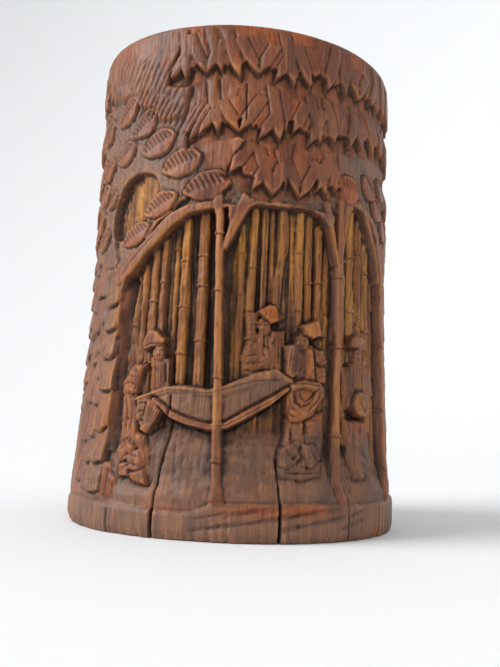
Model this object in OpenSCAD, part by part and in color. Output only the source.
// Carved bamboo brush pot: one culm section with a scene in deep relief, a turned floor board
// let into a rebate from below, and bamboo pegs driven through the foot band into its edge.
// Angles run round the pot from the show face at -Y, positive towards +X.

/* [Pot] */
// Height at the middle of the rim
height = 160; // [155:1:175]
// Outside diameter of the foot band
foot_d = 114.4; // [112:0.2:120]
// Outside diameter at the waist, above the ground line
waist_d = 107.6; // [106:0.2:110]
// Outside diameter at the rim
rim_d = 104.6; // [103:0.2:108]
// Slope of the rim, down towards +X, in degrees
rim_slope = 1.7; // [0:0.1:2.5]
// Thickness of the uncarved wall
wall = 9; // [8.5:0.25:10]

/* [Carving] */
// Depth of the grove windows below the outer face
window_depth = 5; // [3.5:0.25:5.5]
// Height of the plain foot band
band_h = 11; // [9:0.5:12]
// Depth of the cuts between the leaves
leaf_cut = 1.4; // [0.8:0.1:1.8]
// Radius of the bamboo stems between the windows
stem_r = 1.7; // [1.4:0.1:2]
// Radius of the bamboo behind them
culm_r = 2.1; // [1.6:0.1:2.4]

/* [Floor] */
// Thickness of the floor board
floor_t = 7; // [5:0.5:8]
// Gap between the floor board and the table
floor_lift = 4; // [3:0.5:5]
// Width of the shoulder that the board is pushed up against
shoulder = 3; // [2:0.25:3.5]
// Clearance round the board, for the glue
glue_gap = 0.1; // [0.05:0.05:0.2]
// Diameter of the pegs
peg_d = 3; // [2.4:0.2:3.6]
// How far a peg goes into the board
peg_bite = 6; // [4:0.5:8]

/* [Hidden] */
$fn = 96;
foot_r = foot_d / 2;
rim_r = rim_d / 2;
waist_z = height * 0.45;
flare_z = height * 0.16;
floor_top = floor_lift + floor_t;
ground_z = height * 0.2;
bore_foot_r = foot_r - wall - 1.2;
bore_rim_r = rim_r - wall + 0.4;
rebate_r = bore_foot_r + shoulder;
window_r = waist_d / 2 - window_depth;
peg_z = floor_lift + floor_t / 2;
peg_angles = [90, 150, 210, 270];
outer_profile = [[foot_r - 0.9, 0], [foot_r, 1.2], [foot_r, band_h], [foot_r - 0.9, band_h + 1],
    [foot_r - 1.6, flare_z], [waist_d / 2, waist_z], [rim_r, height]];

// Grove windows: middle angle, width, height of the arch top
windows = [[-27, 31, 97], [15, 33, 103], [50, 21, 106], [90, 30, 100], [160, 34, 104],
    [202, 30, 99], [240, 26, 103]];
// Stems: angle at the foot, angle at the top, height of the top
stems = [[-5, -8, 106], [36, 37, 112], [64, 62, 108], [118, 115, 112], [181, 182, 110], [222, 221, 112]];
// Standing scholars: angle, height of the ground under them, height of the hat
scholars = [[-32, 13, 62], [9, 30, 71], [25, 15, 68], [51, 16, 62]];
// Leaf rows: height of the tips, length, first angle, step
leaf_rows = [[142, 16, -22, 15], [123, 16, -15, 15], [106, 12, 0, 15]];
// Drying cracks in the foot band: angle and width
cracks = [[-24.5, 0.7], [15, 0.6], [40, 0.4], [57, 1.8], [133, 0.6], [251, 0.8]];

function face_r(z) = lookup(z, [for (p = outer_profile) [p[1], p[0]]]);
function on_face(a, z, inset) = [(face_r(z) - inset) * sin(a), -(face_r(z) - inset) * cos(a), z];

module facing(a) {
  rotate([0, 0, a]) children();
}

module rod(from, to, r) {
  run = to - from;
  translate(from)
    rotate([0, acos(run[2] / norm(run)), atan2(run[1], run[0])])
      cylinder(r = r, h = norm(run), $fn = 32);
}

// The uncarved culm, with some spare length above the rim
module blank(spare) {
  taper = (waist_d / 2 - rim_r) / (height - waist_z);
  below_rim = [for (k = [0 : len(outer_profile) - 2]) outer_profile[k]];
  rotate_extrude()
    polygon(concat([[0, 0]], below_rim, [[rim_r - taper * spare, height + spare], [0, height + spare]]));
}

module rim_cut() {
  translate([0, 0, height])
    rotate([0, rim_slope, 0])
      translate([-rim_r * 2, -rim_r * 2, 0]) cube([rim_r * 4, rim_r * 4, 40]);
}

module bore() {
  rotate_extrude()
    polygon([[0, -1], [rebate_r, -1], [rebate_r, floor_top], [bore_foot_r, floor_top],
        [bore_rim_r, height + 20], [0, height + 20]]);
}

// An arched opening, seen from outside, standing on the ground slope
module arch(w, top) {
  translate([-w / 2, band_h + 1.5]) square([w, top - w / 2 - band_h - 1.5]);
  translate([0, top - w / 2]) circle(d = w);
}

// The space outside the window floor, which slopes out to the foot band as the ground
module outside_floor() {
  rotate_extrude()
    polygon([[foot_r - 1.4, band_h], [window_r, ground_z], [window_r, height], [foot_r + 9, height],
        [foot_r + 9, band_h]]);
}

module window_cut() {
  intersection() {
    outside_floor();
    for (w = windows)
      facing(w[0]) rotate([90, 0, 0]) translate([0, 0, 30]) linear_extrude(40) arch(w[1], w[2]);
  }
}

// Background bamboo standing on the window floor
module grove() {
  for (w = windows, k = [-1, -0.35, 0.3, 0.95]) {
    a = w[0] + k * w[1] * 0.34;
    facing(a)
      translate([0, -window_r + culm_r * 0.4, ground_z - 6])
        cylinder(r = culm_r, h = w[2] - ground_z + 2 - abs(k) * 7, $fn = 32);
  }
}

module stem(s) {
  rod(on_face(s[0], band_h + 1, stem_r - 0.3), on_face(s[1], s[2], stem_r - 0.3), stem_r);
}

// A scholar in a long robe and a cloth cap, with joined sleeves
module scholar(s) {
  tall = s[2] - s[1];
  facing(s[0]) {
    translate([0, -window_r, s[1]]) cylinder(r1 = 6.2, r2 = 3.6, h = tall * 0.74, $fn = 48);
    translate([0, -window_r - 1, s[1] + tall * 0.8]) sphere(r = tall * 0.09, $fn = 32);
    translate([0, -window_r - 1, s[1] + tall * 0.84])
      cylinder(r1 = tall * 0.095, r2 = tall * 0.04, h = tall * 0.16, $fn = 32);
    translate([-4.5, -window_r - 2.4, s[1] + tall * 0.48])
      rotate([0, 90, 0]) cylinder(r = 2.2, h = 9, $fn = 32);
  }
}

// The open hand scroll held across the front
module scroll() {
  intersection() {
    rotate_extrude()
      polygon([[window_r - 1, 30], [waist_d / 2 - 0.6, 30], [waist_d / 2 - 0.6, 50], [window_r - 1, 50]]);
    facing(-6)
      rotate([90, 0, 0]) linear_extrude(70) intersection() {
        translate([0, 70]) circle(r = 37);
        translate([-21, 30]) square([42, 13.5]);
      }
  }
}

// Each leaf edge is a slanting cut; a pair of them meets at the top of its leaf
module leaf_cuts() {
  for (row = leaf_rows, i = [0 : 360 / row[3] - 1], side = [-1, 1]) {
    facing(row[2] + i * row[3])
      translate([side * row[1] * 0.24, leaf_cut - face_r(row[0]), row[0] + row[1] / 2])
        rotate([0, -side * 24, 0])
          translate([-0.5, -6, -row[1] / 2]) cube([1, 6, row[1]]);
  }
}

module crack_cuts() {
  for (c = cracks)
    facing(c[0]) translate([-c[1] / 2, -foot_r - 1, -1]) cube([c[1], 3, band_h + 0.5]);
}

module peg_bores(reach) {
  for (a = peg_angles)
    facing(a)
      translate([0, -rebate_r + glue_gap + peg_bite, peg_z]) rotate([90, 0, 0]) cylinder(d = peg_d, h = reach);
}

module carved_wall() {
  color("sienna") difference() {
    union() {
      difference() {
        blank(10);
        window_cut();
      }
      grove();
      for (s = stems) stem(s);
      for (s = scholars) scholar(s);
      scroll();
    }
    rim_cut();
    leaf_cuts();
    crack_cuts();
    bore();
    peg_bores(30);
  }
}

module floor_disc() {
  color("peru") difference() {
    translate([0, 0, floor_lift]) cylinder(r = rebate_r - glue_gap, h = floor_t, $fn = 128);
    peg_bores(30);
  }
}

module floor_pegs() {
  color("burlywood") intersection() {
    peg_bores(30);
    blank(0);
  }
}

carved_wall();
floor_disc();
floor_pegs();
